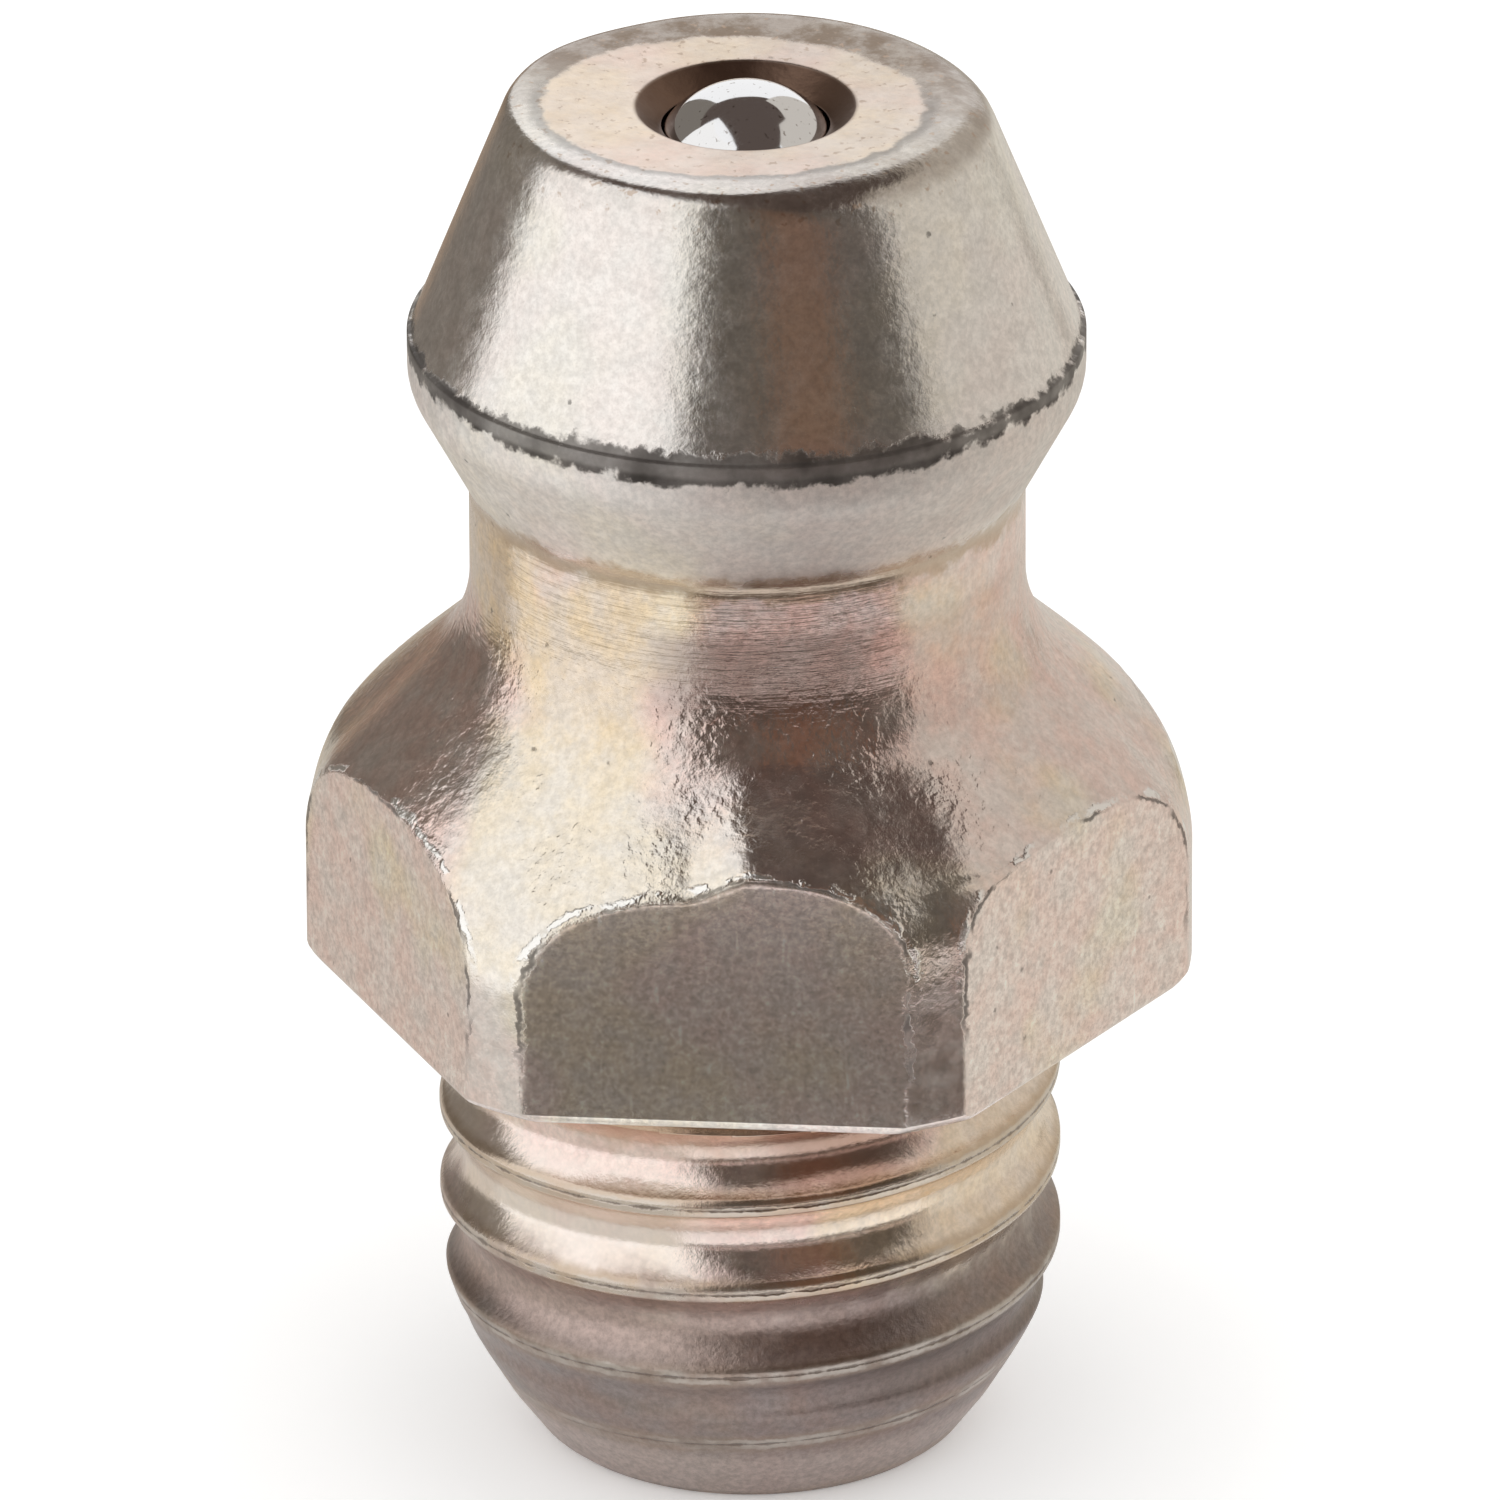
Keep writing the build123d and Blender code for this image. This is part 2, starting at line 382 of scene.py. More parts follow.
angle = np.linspace(0, 2 * math.pi, THREAD_COLUMNS + 1)
turned = angle / (2 * math.pi)
turns = np.arange(-TURNS_BELOW, THREAD_TOP / THREAD_PITCH + TURNS_ABOVE, 1 / ROWS_PER_TURN)
first_turn = (THREAD_FOOT - THREAD_OFFSET) / THREAD_PITCH - turned
last_turn = (THREAD_TOP - THREAD_OFFSET) / THREAD_PITCH - turned
turns = np.clip(turns[:, None], first_turn, last_turn)
thread_z = THREAD_OFFSET + THREAD_PITCH * (turns + turned)
from_groove = np.abs((turns + 0.5) % 1 - 0.5) * THREAD_PITCH
groove_mouth = (THREAD_PITCH - THREAD_CREST) / 2
depth = THREAD_DEPTH * np.maximum(1 - (from_groove / groove_mouth) ** 2, 0)


def lead_radius(height):
    """The most that the thread's crest may reach at a height: the end chamfer, then a lead that
    bends over gently to the full crest."""
    chamfer = END_RADIUS + (TIP_RADIUS - END_RADIUS) * height / END_CHAMFER
    slope = TIP_RADIUS + (height - END_CHAMFER) * math.tan(LEAD_SLOPE)
    full_crest = np.full_like(height, THREAD_RADIUS + LEAD_ABOVE_CREST)
    return np.minimum(chamfer, smooth_least(slope, full_crest, LEAD_BLEND))


def circles(points):
    """Rows of the grid that are circles, from a list of (radius, height) points."""
    points = np.array(points, float)[:, None]
    return around_axis(points[..., 0], angle, points[..., 1])


thread_r = smooth_least(THREAD_RADIUS - depth, lead_radius(thread_z), CREST_BLEND)
end_line = rounded_line(
    [
        (LIP_RADIUS, LIP_HEIGHT, 0),
        (LIP_RADIUS, STAKE_DEPTH, STAKE_FILLETS[0]),
        (CHAMBER_RADIUS, 0, STAKE_FILLETS[1]),
        *END_EDGE,
    ],
    END_SPACING,
)
relief_line = [
    (RELIEF_RADIUS, THREAD_TOP),
    (RELIEF_RADIUS, HEX_BOTTOM - RELIEF_FILLET),
    (RELIEF_RADIUS + RELIEF_FILLET, HEX_BOTTOM),
]
shank_grid = np.concatenate(
    [
        circles([(CHAMBER_RADIUS, LIP_HEIGHT)]),
        circles(end_line),
        around_axis(thread_r, angle, thread_z),
        circles(relief_line),
    ]
)
shank_mesh = sheet_mesh("threaded_shank", shank_grid)
shank = bpy.data.objects.new("threaded_shank", shank_mesh)
scene.collection.objects.link(shank)
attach(shank, "nipple")
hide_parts("body")


# Materials
class Nodes:
    """The nodes of one shader tree. Most calls add a node and return its output socket. A value may
    be a number, or a socket to link. Lengths are in millimetres."""

    def __init__(self, tree, place=None):
        self.tree = tree
        self.place = place

    def wire(self, node, wires):
        """Sets or links inputs of a node."""
        for name, value in wires.items():
            socket = node.inputs[name]
            if isinstance(value, bpy.types.NodeSocket):
                self.tree.links.new(value, socket)
            else:
                socket.default_value = (*value, 1.0) if socket.type == "RGBA" else value

    def add(self, kind, wires, **settings):
        """A new node with its settings, and its inputs set or linked."""
        node = self.tree.nodes.new(kind)
        for name, value in settings.items():
            setattr(node, name, value)
        self.wire(node, wires)
        return node

    def xyz(self):
        """The three coordinates of the place."""
        return self.add("ShaderNodeSeparateXYZ", {0: self.place}).outputs

    def stretched(self, scale, place=None):
        """The place, scaled along each axis."""
        wires = {"Vector": place or self.place, "Scale": scale}
        return self.add("ShaderNodeMapping", wires).outputs["Vector"]

    def math(self, operation, *values):
        """One Math node."""
        return self.add("ShaderNodeMath", dict(enumerate(values)), operation=operation).outputs[0]

    def chain(self, operation, values):
        """Values joined one after another by Math nodes."""
        result = values[0]
        for value in values[1:]:
            result = self.math(operation, result, value)
        return result

    def times(self, *values):
        """The product of values."""
        return self.chain("MULTIPLY", values)

    def plus(self, *values):
        """The sum of values."""
        return self.chain("ADD", values)

    def most(self, *values):
        """The largest of values."""
        return self.chain("MAXIMUM", values)

    def minus(self, first, second):
        """The first value less the second."""
        return self.math("SUBTRACT", first, second)

    def ramp(self, value, start, end, onto=(0.0, 1.0)):
        """Value from start to end, eased smoothly from one bound of onto to the other and held there."""
        wires = {"Value": value, "From Min": start, "From Max": end, "To Min": onto[0], "To Max": onto[1]}
        return self.add("ShaderNodeMapRange", wires, interpolation_type="SMOOTHSTEP").outputs["Result"]

    def band(self, value, rise, full, fading, gone, peak=1.0):
        """Zero outside rise and gone, and the peak between full and fading."""
        return self.times(self.ramp(value, rise, full), self.ramp(value, gone, fading, (0.0, peak)))

    def mix(self, share, first, second, blend_type="MIX"):
        """First and second colour mixed by a share, or blended another way."""
        wires = {0: share, 6: first, 7: second}
        return self.add("ShaderNodeMix", wires, data_type="RGBA", blend_type=blend_type).outputs[2]

    def shade(self, colour, factor):
        """A colour multiplied by a factor or by another colour."""
        return self.mix(1.0, colour, factor, "MULTIPLY")

    def stain(self, colour, share, tone):
        """A colour multiplied by a tone where the share is full."""
        return self.shade(colour, self.mix(share, PURE_WHITE, tone))

    def noise(self, scale, detail=3.0, roughness=0.55, shift=None, place=None):
        """Soft noise with features about one part in scale of a millimetre across."""
        place = place or self.place
        if shift:
            place = self.add("ShaderNodeVectorMath", {0: place, 1: shift}, operation="ADD").outputs[0]
        wires = {"Vector": place, "Scale": scale, "Detail": detail, "Roughness": roughness}
        return self.add("ShaderNodeTexNoise", wires).outputs["Fac"]

    def patches(self, between, onto=(0.0, 1.0), **settings):
        """Noise whose values between two bounds are spread onto two others."""
        return self.ramp(self.noise(**settings), *between, onto)


PURE_WHITE = (1.0, 1.0, 1.0)
NOISE_SPAN = (0.3, 0.7)


def zinc_skin():
    """Satin grey zinc with a passivate that comes and goes between yellow and pink, a fine grain all
    over, cloudy gloss and small dark pits."""
    tree = bpy.data.node_groups.new("zinc_skin", "ShaderNodeTree")
    for label in ("Place", "Zinc", "Yellow", "Pink", "Passivate", "Pinker", "Gloss"):
        kind = {"Place": "Vector", "Zinc": "Color", "Yellow": "Color", "Pink": "Color"}.get(label, "Float")
        tree.interface.new_socket(label, in_out="INPUT", socket_type="NodeSocket" + kind)
    for label, kind in (("Color", "Color"), ("Roughness", "Float"), ("Height", "Float")):
        tree.interface.new_socket(label, in_out="OUTPUT", socket_type="NodeSocket" + kind)
    given = tree.nodes.new("NodeGroupInput").outputs
    nodes = Nodes(tree, given["Place"])

    hue = nodes.plus(nodes.noise(scale=0.5, detail=2.0, roughness=0.45), given["Pinker"])
    tint = nodes.mix(nodes.ramp(hue, 0.44, 0.56), given["Yellow"], given["Pink"])
    thick = nodes.patches((0.32, 0.68), (0.35, 1.0), scale=2.1, detail=5.0, roughness=0.65, shift=(7, 3, 1))
    colour = nodes.mix(nodes.times(given["Passivate"], thick), given["Zinc"], tint)

    grain = nodes.noise(scale=13.0, detail=5.0, roughness=0.7)
    worn = nodes.noise(scale=4.0, detail=5.0, roughness=0.62, shift=(1, 9, 4))
    pits = nodes.add("ShaderNodeTexVoronoi", {"Vector": nodes.place, "Scale": 2.6}, feature="F1")
    few = nodes.math("GREATER_THAN", pits.outputs["Color"], 0.64)
    nibbled = nodes.plus(pits.outputs["Distance"], nodes.times(grain, 0.25))
    pit = nodes.times(nodes.ramp(nibbled, 0.14, 0.22, (1.0, 0.0)), few)
    grey = nodes.times(
        nodes.ramp(grain, *NOISE_SPAN, (0.84, 1.05)),
        nodes.ramp(worn, *NOISE_SPAN, (0.93, 1.03)),
        nodes.ramp(pit, 0.0, 1.0, (1.0, 0.45)),
    )
    relief = nodes.plus(nodes.times(grain, 0.55), nodes.times(worn, 0.9))
    results = {
        "Color": nodes.shade(colour, grey),
        "Roughness": nodes.times(given["Gloss"], nodes.ramp(worn, *NOISE_SPAN, (0.75, 1.35))),
        "Height": nodes.minus(relief, nodes.times(pit, 0.6)),
    }
    nodes.wire(tree.nodes.new("NodeGroupOutput"), results)
    return tree


def start_material(name):
    """A new material, and its nodes."""
    material = bpy.data.materials.new(name)
    material.use_nodes = True
    return material, Nodes(material.node_tree)


def start_metal(name):
    """A new metal, and its nodes with their place in millimetres."""
    material, nodes = start_material(name)
    coordinates = nodes.add("ShaderNodeTexCoord", {}).outputs["Object"]
    nodes.place = nodes.stretched((1 / MM,) * 3, coordinates)
    return material, nodes


def finish_metal(nodes, colour, roughness, relief, relief_height):
    """Gives a metal its colour, its roughness and its relief, which has a height in millimetres."""
    wires = {"Strength": 1.0, "Distance": relief_height * MM, "Height": relief}
    bump = nodes.add("ShaderNodeBump", wires).outputs["Normal"]
    wires = {"Metallic": 1.0, "Base Color": colour, "Roughness": roughness, "Normal": bump}
    nodes.wire(nodes.tree.nodes["Principled BSDF"], wires)


skin = zinc_skin()

# Plating of the head, neck, shoulder and hexagon
HEAD_ZINC = (0.93, 0.91, 0.88)
HEAD_YELLOW = (1.0, 0.85, 0.6)
HEAD_PINK = (1.0, 0.76, 0.69)
HEAD_GLOSS = 0.18
FACE_STAIN = (0.96, 0.94, 0.92)
FACE_LEFT = (1.0, 0.85, 0.73)
FACE_RIGHT = (0.86, 0.74, 0.65)
NECK_STAIN = (0.87, 0.81, 0.78)
NECK_PAINTED_REFLECTION = (0.42, 0.35, 0.32)
BROWN_RING = (0.5, 0.36, 0.22)
UNDERSIDE_PAINTED_SHADE = (0.3, 0.2, 0.14)
RIM_BROWN = (0.25, 0.185, 0.135)
FRECKLE = (0.5, 0.36, 0.26)
MOUTH_BROWN = (0.2, 0.125, 0.09)
DARK_LINE = (0.125, 0.113, 0.105)
PAINTED_GLINT = (1.0, 0.99, 0.97)
HEAD_RELIEF_HEIGHT = 0.0048
FLAT_ROUGHNESS = 0.2
FACE_OFF_CENTRE = (0.12, 0.11, 0.0)
FACE_NARROWER = (1.0, 1.12, 0.0)

plate, nodes = start_metal("plated_head_and_hexagon")
x, y, z = nodes.xyz()
x_squared = nodes.times(x, x)
out = nodes.math("SQRT", nodes.plus(x_squared, nodes.times(y, y)))
ragged = nodes.minus(nodes.noise(scale=4.0, detail=5.0, roughness=0.65, shift=(3, 0, 5)), 0.5)

# Where the face and its rim are: the face is a little off centre, and its edge is frayed
moved = nodes.add("ShaderNodeVectorMath", {0: nodes.place, 1: FACE_OFF_CENTRE}, operation="ADD").outputs[0]
flatter = nodes.add("ShaderNodeVectorMath", {0: moved, 1: FACE_NARROWER}, operation="MULTIPLY").outputs[0]
from_middle = nodes.add("ShaderNodeVectorMath", {0: flatter}, operation="LENGTH").outputs["Value"]
frayed = nodes.plus(from_middle, nodes.times(ragged, 0.25))
near_top = nodes.ramp(z, 13.5, 13.7)
on_face = nodes.times(near_top, nodes.ramp(frayed, 1.88, 1.78))
right_of_front = nodes.ramp(x, -0.6, 1.0, (0.1, 0.5))
on_rim = nodes.times(
    nodes.ramp(z, 13.62, 13.78),
    nodes.ramp(frayed, 1.76, 1.86),
    nodes.ramp(y, -0.8, 1.2, (right_of_front, 1.0)),
)
# A soft painted shade darkens the edge of the face at the front
painted_shade_at_face_front = nodes.times(nodes.band(frayed, 1.8, 1.86, 1.88, 2.02), near_top, nodes.ramp(y, 0.9, -0.3))

# Passivate lies thickest on the neck and the face, thinly on the head, and pinker to the right
at_sides = nodes.ramp(x_squared, 4.0, 8.0, (0.5, 0.8))
on_neck = nodes.times(nodes.ramp(z, 7.2, 8.9, (at_sides, 1.0)), nodes.ramp(z, 10.2, 9.8))
coat = nodes.add(
    "ShaderNodeGroup",
    {
        "Place": nodes.place,
        "Zinc": HEAD_ZINC,
        "Yellow": HEAD_YELLOW,
        "Pink": HEAD_PINK,
        "Passivate": nodes.most(on_neck, nodes.ramp(z, 9.8, 10.3, (0.0, 0.22)), on_face),
        "Pinker": nodes.times(nodes.ramp(x, -1.6, 1.2, (-0.03, 0.12)), nodes.ramp(z, 12.0, 11.0)),
        "Gloss": HEAD_GLOSS,
    },
    node_tree=skin,
).outputs

# The neck is warm, but less so at its top on the right, and a painted dark reflection darkens it at the
# front
near_ring = nodes.times(nodes.ramp(z, 9.3, 9.6), nodes.ramp(x, -1.0, -0.3, (0.0, 0.8)))
on_neck = nodes.times(on_neck, nodes.ramp(z, 7.8, 8.9, (0.3, 1.0)), nodes.minus(1.0, near_ring))
painted_dark_reflection_on_neck = nodes.times(
    nodes.band(z, 8.5, 8.8, 9.35, 9.65),
    nodes.band(x, -0.9, -0.4, 1.1, 1.5, peak=0.6),
    nodes.ramp(y, 0.0, -1.0),
)
colour = nodes.stain(coat["Color"], on_face, FACE_STAIN)
colour = nodes.stain(colour, on_neck, NECK_STAIN)
colour = nodes.mix(painted_dark_reflection_on_neck, colour, NECK_PAINTED_REFLECTION)

# A brown ring runs round the neck where it meets the head, and the hexagon's underside is painted dark
# brown as shade
wavering = nodes.plus(z, nodes.times(ragged, 0.5))
colour = nodes.mix(nodes.band(wavering, 9.8, 9.95, 10.05, 10.2, peak=0.6), colour, BROWN_RING)
underside_painted_shade = nodes.times(nodes.ramp(z, 4.9, 4.86), nodes.ramp(out, 3.7, 3.5))
colour = nodes.mix(underside_painted_shade, colour, UNDERSIDE_PAINTED_SHADE)

# The rim is brown in patches, the face is peach with freckles, and the mouth is dark brown
patchy = nodes.patches((0.36, 0.6), (0.7, 1.0), scale=2.4, detail=5.0, roughness=0.7, shift=(5, 5, 2))
colour = nodes.mix(nodes.times(on_rim, patchy), colour, RIM_BROWN)
peach = nodes.mix(nodes.ramp(x, -1.2, 0.4), FACE_LEFT, FACE_RIGHT)
colour = nodes.mix(nodes.times(on_face, 0.6), colour, peach)
freckles = nodes.patches((0.6, 0.68), (0.0, 0.6), scale=9.0, roughness=0.6, shift=(2, 2, 8))
colour = nodes.mix(nodes.times(freckles, near_top), colour, FRECKLE)
in_mouth = nodes.times(nodes.ramp(out, 1.09, 1.03), nodes.ramp(z, 13.0, 13.3))
colour = nodes.mix(in_mouth, colour, MOUTH_BROWN)

# A dark ragged line runs round the widest edge of the head, thicker at the front
from_edge = nodes.math("ABSOLUTE", nodes.minus(z, HEAD_WIDEST + 0.04))
from_edge = nodes.plus(from_edge, nodes.times(ragged, 0.42))
from_edge = nodes.minus(from_edge, nodes.ramp(y, -1.8, -3.2, (0.0, 0.06)))
unbroken = nodes.patches((0.35, 0.6), (0.95, 0.72), scale=1.1, detail=4.0)
edge_line = nodes.times(nodes.ramp(from_edge, 0.045, 0.115, (1.0, 0.0)), unbroken)

# The edges of the flats are torn and dark on the side of the flat, and painted glints light them on the
# side of the shoulder
past = nodes.add("ShaderNodeAttribute", {}, attribute_name="past_flat_edge").outputs["Fac"]
past = nodes.plus(past, nodes.times(ragged, 0.16))
torn_dark = nodes.times(
    nodes.band(past, -0.012, 0.0, 0.012, 0.035),
    nodes.patches((0.44, 0.56), (0.0, 0.75), scale=1.6),
    nodes.ramp(z, 5.2, 5.8),
)
# The dark line colour also lays the painted shade at the front edge of the face
dark_line = nodes.most(edge_line, torn_dark, nodes.times(painted_shade_at_face_front, 0.35))
colour = nodes.mix(dark_line, colour, DARK_LINE)
painted_glints = nodes.times(
    nodes.band(past, -0.08, -0.05, -0.022, -0.006),
    nodes.patches((0.46, 0.54), (0.0, 0.9), scale=2.2, detail=4.0, roughness=0.6, shift=(9, 2, 2)),
    nodes.ramp(z, 6.1, 6.7),
)
colour = nodes.mix(painted_glints, colour, PAINTED_GLINT)

# The flats are speckled, and scratched along their height
on_flats = nodes.times(nodes.ramp(past, 0.0, 0.04), nodes.ramp(z, 7.8, 7.7))
speckle = nodes.patches((0.32, 0.68), (0.84, 1.2), scale=13.0, detail=5.0, roughness=0.75, shift=(6, 0, 6))
drawn_out = nodes.stretched((1.0, 1.0, 0.12))
scratch = nodes.patches(
    (0.66, 0.74), (1.0, 1.22), scale=9.0, roughness=0.5, shift=(1, 5, 2), place=drawn_out
)
speckle = nodes.times(nodes.minus(nodes.times(speckle, scratch), 1.0), on_flats)
colour = nodes.shade(colour, nodes.plus(speckle, 1.0))
even_gloss = {0: on_flats, 2: coat["Roughness"], 3: FLAT_ROUGHNESS}
even_gloss = nodes.add("ShaderNodeMix", even_gloss, data_type="FLOAT").outputs[0]
roughness = nodes.plus(
    even_gloss,
    nodes.times(dark_line, 0.4),
    nodes.times(on_face, 0.2),
    nodes.times(nodes.band(z, 10.0, 10.4, 11.38, 11.45), 0.4),
)

# The shoulder is hammered and dented, the cone hammered, and fine turning lines run round the neck
hammered = nodes.noise(scale=6.5, roughness=0.6, shift=(0, 4, 8))
dents = nodes.patches((0.35, 0.65), scale=11.0, detail=2.0, roughness=0.5, shift=(2, 8, 3))
dented = nodes.patches((0.42, 0.58), (0.1, 0.9), scale=1.1, detail=2.0, roughness=0.5, shift=(8, 1, 3))
on_shoulder = nodes.times(nodes.band(z, 6.2, 7.0, 8.6, 9.4), nodes.ramp(past, 0.03, -0.01))
beaten = nodes.plus(nodes.times(hammered, 1.5), nodes.times(dents, dented))
turning = nodes.noise(scale=2.2, roughness=0.6, place=nodes.stretched((0.5, 0.5, 8.0)))
relief = nodes.plus(
    nodes.times(beaten, on_shoulder),
    nodes.times(turning, nodes.band(z, 8.2, 8.9, 9.8, 10.2), 1.6),
    nodes.times(coat["Height"], nodes.ramp(on_flats, 0.0, 1.0, (1.0, 0.3))),
    nodes.times(hammered, nodes.ramp(z, 11.65, 12.3)),
    nodes.times(painted_glints, 2.0),
)
finish_metal(nodes, colour, roughness, nodes.minus(relief, dark_line), HEAD_RELIEF_HEIGHT)
upper_mesh.materials.append(plate)

# Plating of the thread: gold and pink under the hexagon, and mauve lower down
THREAD_ZINC = (0.97, 0.88, 0.8)
THREAD_YELLOW = (1.0, 0.83, 0.64)
THREAD_PINK = (1.0, 0.76, 0.7)
THREAD_PASSIVATE = 0.9
THREAD_GLOSS = 0.14
MAUVE_BROWN = (0.26, 0.19, 0.168)
MAUVE_GREY = (0.24, 0.205, 0.2)
PALE_END = (0.5, 0.42, 0.39)
THIRD_TURN_PAINTED_LIGHT = (0.44, 0.335, 0.305)
FOURTH_TURN_PAINTED_DARK = (0.13, 0.1, 0.09)
PAINTED_SHADOW_UNDER_HEXAGON = (0.6, 0.4, 0.26)
PAINTED_HIGHLIGHT_GOLD = (1.0, 0.92, 0.86)
DARK_REFLECTION_BROWN = (0.42, 0.25, 0.18)
CREST_BROWN = (0.5, 0.36, 0.22)
CREST_LIP = (0.72, 0.68, 0.63)
CREST_SEAM = (0.16, 0.12, 0.1)
THREAD_RELIEF_HEIGHT = 0.006

thread_plate, nodes = start_metal("plated_thread")
x, y, z = nodes.xyz()
clouds = nodes.noise(scale=1.4, detail=4.0, roughness=0.6, shift=(2, 6, 0))
wavy = nodes.plus(z, nodes.times(clouds, 1.2))
lower = nodes.ramp(wavy, 3.5, 2.9)
coat = nodes.add(
    "ShaderNodeGroup",
    {
        "Place": nodes.place,
        "Zinc": THREAD_ZINC,
        "Yellow": THREAD_YELLOW,
        "Pink": THREAD_PINK,
        "Passivate": THREAD_PASSIVATE,
        "Gloss": THREAD_GLOSS,
    },
    node_tree=skin,
).outputs

mauve = nodes.mix(nodes.ramp(clouds, 0.35, 0.65), MAUVE_BROWN, MAUVE_GREY)
mauve = nodes.mix(nodes.ramp(z, 0.85, 0.5, (0.0, 0.85)), mauve, PALE_END)
# Painted reflections: the third turn is lighter towards the left, and the fourth turn near black at the
# right
mauve = nodes.mix(nodes.times(nodes.ramp(z, 1.7, 2.0), nodes.ramp(x, 1.9, -0.2)), mauve, THIRD_TURN_PAINTED_LIGHT)
painted_dark_on_fourth_turn = nodes.times(nodes.band(z, 1.1, 1.3, 1.8, 2.0), nodes.ramp(x, 0.4, 1.8, (0.0, 0.8)))
mauve = nodes.mix(painted_dark_on_fourth_turn, mauve, FOURTH_TURN_PAINTED_DARK)
mauve = nodes.shade(mauve, nodes.patches(NOISE_SPAN, (0.8, 1.25), scale=14.0, detail=4.0, roughness=0.7))

# A painted shadow browns the top of the shank just under the hexagon
gold = nodes.mix(nodes.ramp(wavy, 4.5, 5.0, (0.0, 0.6)), coat["Color"], PAINTED_SHADOW_UNDER_HEXAGON)
# A painted highlight pales the turns towards the left, below the top turn
pale = nodes.times(nodes.ramp(x, 0.2, -0.5, (0.0, 0.6)), nodes.ramp(z, 3.95, 3.6))
gold = nodes.mix(pale, gold, PAINTED_HIGHLIGHT_GOLD)
colour = nodes.mix(nodes.times(lower, 0.88), gold, mauve)
# A painted dark reflection browns the top turns right of the front, under the hexagon
dark_reflection_under_hexagon = nodes.times(nodes.band(x, 0.1, 0.7, 1.3, 2.0), nodes.ramp(wavy, 4.2, 4.5, (0.0, 0.7)))
colour = nodes.mix(dark_reflection_under_hexagon, colour, DARK_REFLECTION_BROWN)

# Distance from the middle of the crest, measured up the thread: turning round moves it by one pitch.
# Rolling left a brown crest with a torn lip and a seam along its middle
turn_share = nodes.math("DIVIDE", nodes.math("ARCTAN2", y, x), 2 * math.pi)
phase = nodes.math("DIVIDE", nodes.minus(z, THREAD_OFFSET), THREAD_PITCH)
phase = nodes.math("FRACT", nodes.minus(phase, turn_share))
from_crest = nodes.times(nodes.math("ABSOLUTE", nodes.minus(phase, 0.5)), THREAD_PITCH)
torn = nodes.minus(nodes.noise(scale=6.0, detail=5.0, roughness=0.65), 0.5)
from_crest = nodes.plus(from_crest, nodes.times(torn, 0.09))
on_turns = nodes.ramp(z, 0.65, 0.9)
brown_crest = nodes.times(
    nodes.ramp(from_crest, 0.07, 0.17, (0.6, 0.0)),
    nodes.ramp(lower, 0.3, 0.8, (1.0, 0.3)),
)
lip = nodes.times(
    nodes.ramp(from_crest, 0.05, 0.085, (1.0, 0.0)),
    on_turns,
    nodes.patches((0.38, 0.6), (0.05, 0.55), scale=1.8, detail=4.0, roughness=0.6, shift=(4, 1, 6)),
)
seam = nodes.times(nodes.ramp(from_crest, -0.005, 0.022, (1.0, 0.0)), on_turns)
colour = nodes.mix(brown_crest, colour, CREST_BROWN)
colour = nodes.mix(lip, colour, CREST_LIP)
colour = nodes.mix(nodes.times(seam, 0.7), colour, CREST_SEAM)
roughness = nodes.plus(coat["Roughness"], nodes.times(lower, 0.22))
pitted = nodes.noise(scale=9.0, detail=4.0, roughness=0.7, shift=(3, 3, 3))
relief = nodes.plus(coat["Height"], nodes.times(pitted, lower, 1.2))
relief = nodes.minus(relief, nodes.times(seam, 1.5))
finish_metal(nodes, colour, roughness, relief, THREAD_RELIEF_HEIGHT)
shank_mesh.materials.append(thread_plate)

# Check ball
# A hardened and polished steel ball that fills the mouth from below and rests on the valve seat.
# It is ground all over, so it has nothing but the faintest ripple and a few specks.
BALL_RADIUS = 0.95
BALL_COLUMNS = 96
BALL_ROWS = 64
BALL_COLOUR = (0.86, 0.86, 0.87)
BALL_SPECK = (0.4, 0.37, 0.35)
BALL_RELIEF_HEIGHT = 0.001

ball_low, ball_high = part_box("ball")
ball_height = (ball_low.z + ball_high.z) / 2 / MM
around = np.linspace(0, 2 * math.pi, BALL_COLUMNS + 1)[None, :]
over = np.linspace(-math.pi / 2, math.pi / 2, BALL_ROWS + 1)[:, None]
ball_grid = around_axis(BALL_RADIUS * np.cos(over), around, ball_height + BALL_RADIUS * np.sin(over))
ball_mesh = sheet_mesh("check_ball", ball_grid)
ball = bpy.data.objects.new("check_ball", ball_mesh)
scene.collection.objects.link(ball)
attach(ball, "check_ball")
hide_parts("ball")

ball_steel, nodes = start_metal("polished_ball")
ripple = nodes.noise(scale=3.0, detail=2.0)
specks = nodes.patches((0.62, 0.72), scale=16.0)
colour = nodes.mix(specks, BALL_COLOUR, BALL_SPECK)
finish_metal(nodes, colour, nodes.ramp(ripple, *NOISE_SPAN, (0.05, 0.1)), ripple, BALL_RELIEF_HEIGHT)
ball_mesh.materials.append(ball_steel)

# Spring
# Drawn spring wire wound into a coil with a closed turn at each end. It stands on the lip that is
# staked inwards at the threaded end, and its top turn cups the ball.
WIRE_RADIUS = 0.14
COIL_RADIUS = 0.86
OPEN_TURNS = 7
END_TURNS = 2
STEPS_PER_TURN = 44
WIRE_COLUMNS = 14
CLOSED_SPREAD = 1.02
CLOSED_PITCH = 2 * WIRE_RADIUS * CLOSED_SPREAD
PITCH_EASING = 0.012
WIRE_DARK = (0.3, 0.29, 0.28)
WIRE_LIGHT = (0.56, 0.55, 0.53)
WIRE_RELIEF_HEIGHT = 0.003

